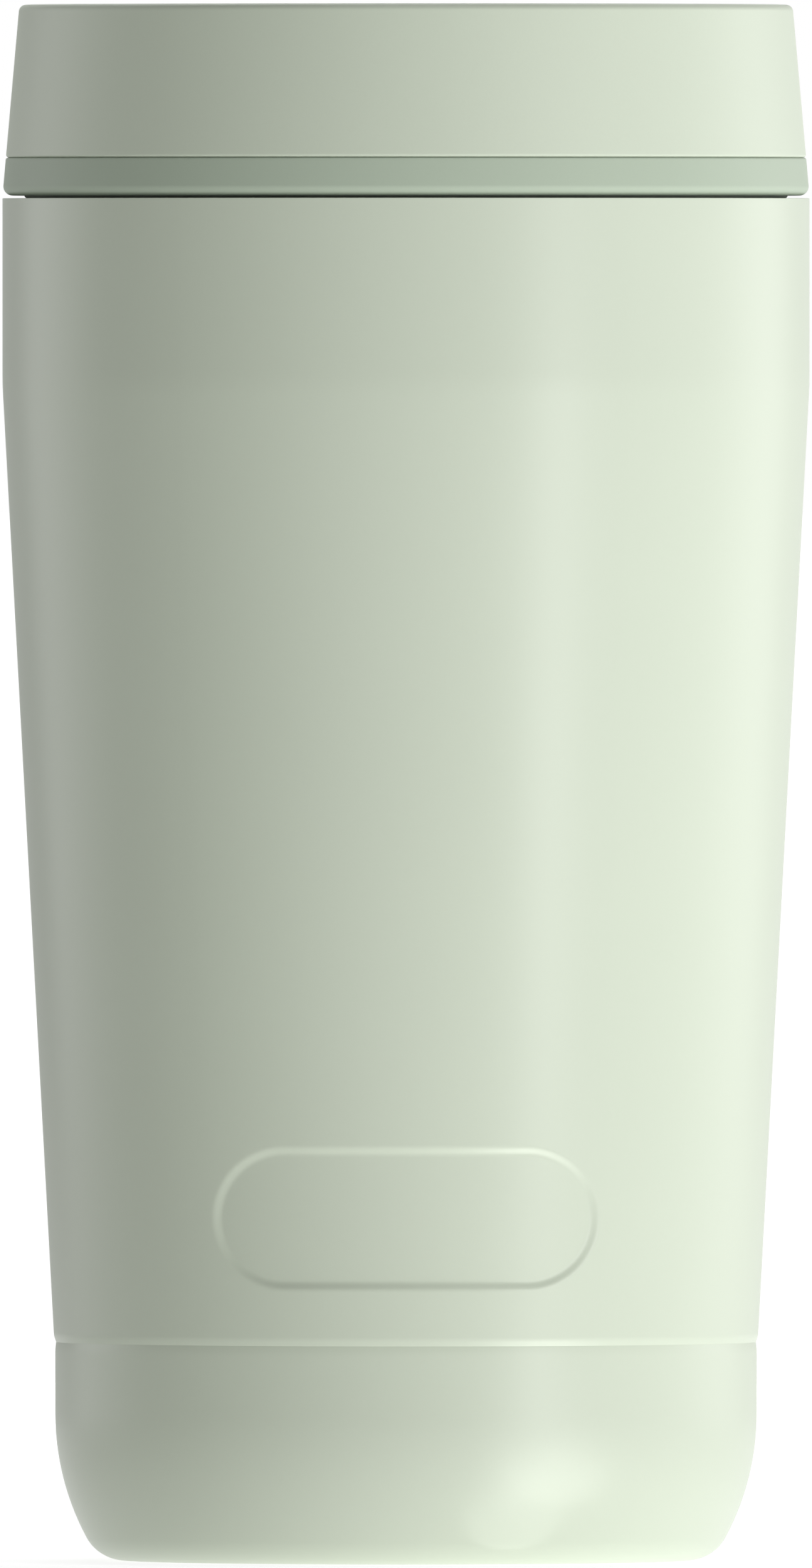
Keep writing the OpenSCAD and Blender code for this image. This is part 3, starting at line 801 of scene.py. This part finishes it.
def plug_mesh():
    """The lid's body: threaded plug, collar and flange, the floor of the dish, and the spider's seat."""
    upstand_r = DISH_R + DISH_WALL
    collar_z = RIM_Z - COLLAR_H
    window_z = DISH_Z - DISH_FALL
    lip_z = SEAT_Z + SEAT_LIP_T
    bm = turned([
        (PLUG_IN_R, PLUG_Z, PLAIN_EDGE),
        (PLUG_R, PLUG_Z, SOFT_EDGE),
        (PLUG_R, collar_z - (COLLAR_R - PLUG_R), 0),
        (COLLAR_R, collar_z, 0),
        (COLLAR_R, GASKET_TOP_Z, 0),
        (FLANGE_R, GASKET_TOP_Z, 0),
        (FLANGE_R, BAND_TOP_Z, 0),
        (upstand_r, BAND_TOP_Z, 0),
        (upstand_r, DISH_Z, 0),
        (DISH_R, DISH_Z, 0),
        (SEAT_IN_R, window_z, SOFT_EDGE),
        (SEAT_IN_R, lip_z, 0),
        (SEAT_IN_R - SEAT_LIP_W, lip_z, 0),
        (SEAT_IN_R - SEAT_LIP_W, SEAT_Z, 0),
        (SEAT_OUT_R, SEAT_Z, 0),
        (SEAT_OUT_R, window_z - DISH_FLOOR, 0),
        (PLUG_IN_R, window_z - DISH_FLOOR, FULL_EDGE),
    ])
    add_ridges(bm, PLUG_R, PLUG_R + THREAD_H, RIDGE_Z)
    return bm


def button_mesh():
    """The button: a hollowed top, a skirt, and the boss below it with the stem's socket."""
    under_z = BUTTON_TOP_Z - BUTTON_T
    skirt_in_r = BUTTON_R - SKIRT_WALL
    return turned([
        (0, BUTTON_TOP_Z - BUTTON_HOLLOW, 0),
        (BUTTON_R - HOLLOW_RIM_W, BUTTON_TOP_Z, HOLLOW_BLEND),
        (BUTTON_R, BUTTON_TOP_Z, BUTTON_EDGE),
        (BUTTON_R, SKIRT_Z, SOFT_EDGE),
        (skirt_in_r, SKIRT_Z, PLAIN_EDGE),
        (skirt_in_r, under_z, SOFT_EDGE),
        (BOSS_R, under_z, 0),
        (BOSS_R, BOSS_Z, 0),
        (BOSS_SOCKET_R, BOSS_Z, 0),
        (BOSS_SOCKET_R, SOCKET_TOP_Z, 0),
        (0, SOCKET_TOP_Z, 0),
    ], closed=False)


def spring_mesh():
    """The return spring: a wire's round section, spun up its coil."""
    bm = bmesh.new()
    coil_r = SPRING_OUT_R - WIRE_D / 2
    first_z = SPRING_Z + WIRE_D / 2
    climb = SPRING_TOP_Z - SPRING_Z - WIRE_D
    place = Matrix.Translation((coil_r * MM, 0, first_z * MM)) @ Matrix.Rotation(math.pi / 2, 4, "X")
    section = bmesh.ops.create_circle(bm, segments=WIRE_SIDES, radius=WIRE_D / 2 * MM, matrix=place)
    steps = math.ceil(SPRING_TURNS * COIL_STEPS)
    coiled(bm, section["verts"], SPRING_TURNS * math.tau, climb, steps)
    close_up(bm)
    return bm


PAINT = satin_paint("sage paint", SAGE)
CAP_PLASTIC = moulded_plastic("pale sage plastic", CAP_SAGE, roughness=0.40, gloss=0.5)
BAND_PLASTIC = moulded_plastic("dark sage plastic", DARK_SAGE, roughness=0.44, gloss=0.25)
BARE_STEEL = brushed_steel("brushed steel", STEEL)
FOIL = creased_foil("copper foil", COPPER)
GETTER = pressed_powder("getter powder", GETTER_GREY)
BEAD = flowed_braze("braze", BRAZE)
PAD = soft_silicone("base pad", PAD_SAGE)
SILICONE = soft_silicone("dark silicone", GASKET_SAGE)
LATCH = acetal("natural acetal", ACETAL)
SPRING_WIRE = drawn_wire("spring wire", WIRE)

piece(shell_mesh(), "painted_shell", PAINT, "cup", "outer_shell")
piece(vessel_mesh(), "steel_vessel", BARE_STEEL, "cup", "inner_vessel")
piece(base_mesh(), "painted_base", PAINT, "cup", "base_cup")
piece(cover_mesh(), "base_disc", PAD, "cup", "base_cover")
piece(cap_mesh(), "drinking_cap", CAP_PLASTIC, "lid", "lid_cap")
piece(band_mesh(), "dark_band", BAND_PLASTIC, "lid", "lid_band")
piece(plug_mesh(), "threaded_plug", BAND_PLASTIC, "lid", "lid_body")
piece(button_mesh(), "finger_button", CAP_PLASTIC, "valve", "push_button")
spring = piece(spring_mesh(), "coil_spring", SPRING_WIRE, "lid", "return_spring")

# The button's travel is read from its joint and set against the spring's height, but that share is not
# used; the spring gets a mesh of its own
press = next(joint for joint in frame["joints"] if joint["name"] == "button_press")
spring_h = SPRING_TOP_Z - SPRING_Z
1 - press["range_m"][1] / MM / spring_h
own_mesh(spring)

# Solids that show as they are, with their finishes
for node, finish in {
    "radiation_shield": FOIL,
    "getter": GETTER,
    "port_seal": BEAD,
    "rim_gasket": SILICONE,
    "valve_spider": BAND_PLASTIC,
    "guide_sleeve": LATCH,
    "stem_seal": SILICONE,
    "valve_stem": BARE_STEEL,
    "valve_plate": BAND_PLASTIC,
    "valve_seal": SILICONE,
    "valve_nut": BAND_PLASTIC,
    "rotor_clip": SPRING_WIRE,
    "latch_rotor": LATCH,
}.items():
    slots = frame["nodes"][node].data.materials
    slots.clear()
    slots.append(finish)


def pale_finish():
    """A floor that glows a little like a light table, shows white and keeps the tumbler's shadow."""
    finish = Finish("pale floor")
    pale, dull = (
        finish.make("ShaderNodeBsdfDiffuse", {}, {"Color": (grey, grey, grey, 1)})
        for grey in (FLOOR_COLOUR, FLOOR_BOUNCE)
    )
    white, dim, bright = (
        finish.make("ShaderNodeEmission", {}, {"Strength": strength})
        for strength in (FLOOR_LIGHT, *FLOOR_GLOW)
    )
    x, y = (finish.coordinate(axis) for axis in "XY")
    distance = (x * x + y * y) ** 0.5
    to_the_right = finish.ramp(FLOOR_GLOW_RIGHT * x - FLOOR_GLOW_FRONT * y, FLOOR_GLOW_RUN, (0, 1))
    glow = finish.mix(to_the_right * finish.ramp(distance, FLOOR_FADE_RUN, FLOOR_FADE), dim, bright)
    shed = finish.make("ShaderNodeAddShader", {}, {"Shader": dull, "Shader_001": glow})
    visible = finish.mix(finish.ramp(distance, FLOOR_WHITE_RUN, FLOOR_WHITE), pale, white)
    return finish.shown(finish.mix(finish.seen(), shed, visible))


def pale_floor():
    """A round floor, wide enough to fill every view."""
    bm = bmesh.new()
    bmesh.ops.create_circle(bm, cap_ends=True, segments=TURN_STEPS, radius=FLOOR_R)
    floor = made_of(bm, "floor", pale_finish())


def white_world():
    """A white backdrop that sheds only a little light of its own."""
    world = bpy.data.worlds.new("studio")
    scene.world = world
    nodes = Nodes(world)
    dim, white = (
        nodes.make("ShaderNodeBackground", {}, {"Color": (1, 1, 1, 1), "Strength": strength})
        for strength in (SKY_GLOW, SKY_WHITE)
    )
    nodes.make("ShaderNodeOutputWorld", {}, {"Surface": nodes.mix(nodes.seen(), dim, white)})


def edge_flag(side, brightness):
    """A grey card behind the tumbler, out of the picture, that tones down the white seen in its edge."""
    finish = Finish("flag grey")
    grey = finish.make("ShaderNodeEmission", {}, {"Strength": brightness})
    bm = bmesh.new()
    centre = Matrix.Translation((side * (FLAG_IN_X + FLAG_OUT_X) / 2, FLAG_BACK, FLAG_H / 2))
    size = Matrix.Diagonal((FLAG_OUT_X - FLAG_IN_X, 1, FLAG_H, 1))
    upright = Matrix.Rotation(math.pi / 2, 4, "X")
    bmesh.ops.create_grid(bm, x_segments=1, y_segments=1, size=0.5, matrix=centre @ size @ upright)
    flag = made_of(bm, "edge_flag", finish.shown(grey))
    flag.visible_camera = flag.visible_diffuse = flag.visible_shadow = False


def facing(place, target):
    """The place and turn of a lamp or camera that looks at a target."""
    turn = (Vector(target) - Vector(place)).to_track_quat("-Z", "Y").to_matrix().to_4x4()
    return Matrix.Translation(place) @ turn


def round_place(azimuth, distance, z):
    """A place round the tumbler, its azimuth in degrees to the right of the camera."""
    turn = math.radians(azimuth)
    return Vector((math.sin(turn) * distance, -math.cos(turn) * distance, z))


def soft_light(name, matrix, width, height, brightness):
    """A light whose face is this bright, a brightness of 1 being white."""
    light = bpy.data.lights.new(name, "AREA")
    light.shape = "RECTANGLE"
    light.size = width
    light.size_y = height
    light.energy = brightness * math.pi * width * height
    lit = bpy.data.objects.new(name, light)
    lit.matrix_world = matrix
    lit.visible_camera = False
    scene.collection.objects.link(lit)
    return lit


def lamp(name, azimuth, distance, z, width, height, brightness, aim_z=MIDDLE_Z):
    """A soft lamp that faces the tumbler."""
    place = facing(round_place(azimuth, distance, z), (0, 0, aim_z))
    return soft_light(name, place, width, height, brightness)


def top_beam():
    """A narrow beam from straight above, for the lid's dish and the button."""
    beam = bpy.data.lights.new("top beam", "SPOT")
    beam.energy = BEAM_POWER
    beam.shadow_soft_size = BEAM_R
    beam.spot_size = BEAM_ANGLE
    beam.spot_blend = BEAM_BLEND
    lit = bpy.data.objects.new("top beam", beam)
    lit.location = (0, 0, BEAM_Z)
    scene.collection.objects.link(lit)


def glint(azimuth, distance, turn, width, length, brightness):
    """A small card on the floor, softer towards its edge, whose reflection shows low on the base."""
    face_up = Matrix.Rotation(math.radians(turn), 4, "Z") @ Matrix.Rotation(math.pi, 4, "X")
    place = Matrix.Translation(round_place(azimuth, distance, GLINT_Z)) @ face_up
    for share in GLINT_SHARES:
        card = soft_light("glint card", place, width * share, length * share, brightness)
        card.data.shape = "ELLIPSE"
        card.visible_diffuse = False


pale_floor()
white_world()
edge_flag(side=-1, brightness=0.58)
edge_flag(side=1, brightness=0.8)
lamp("broad lamp", azimuth=80, distance=1.2, z=0.35, width=2.8, height=0.7, brightness=0.84)
lamp(
    "strip lamp", azimuth=42, distance=0.387, z=STRIP_Z, aim_z=STRIP_Z,
    width=0.07, height=0.115, brightness=8.4,
)
lamp("back lamp", azimuth=180, distance=0.8, z=1.0, width=0.8, height=0.8, brightness=2.5)
lamp("left rim lamp", azimuth=-120, distance=1.0, z=0.2, width=0.6, height=0.6, brightness=1.35)
lamp("right rim lamp", azimuth=120, distance=1.0, z=0.2, width=0.6, height=0.6, brightness=1.02)
rear_lamp = lamp("rear lamp", azimuth=172, distance=1.2, z=0.2, width=1.0, height=0.5, brightness=2.2)
rear_lamp.visible_glossy = False
top_beam()
glint(azimuth=36.5, distance=0.062, turn=46, width=0.028, length=0.046, brightness=2.6)
glint(azimuth=24, distance=0.0395, turn=58, width=0.013, length=0.020, brightness=1.5)

camera = bpy.data.objects.new("camera", bpy.data.cameras.new("camera"))
camera.data.sensor_fit = "VERTICAL"
camera.data.sensor_width = SENSOR_W
camera.data.sensor_height = SENSOR_H
camera.data.lens = CAMERA_LENS
camera.matrix_world = facing(CAMERA_PLACE, CAMERA_TARGET)
scene.collection.objects.link(camera)
scene.camera = camera
scene.view_settings.view_transform = "Standard"
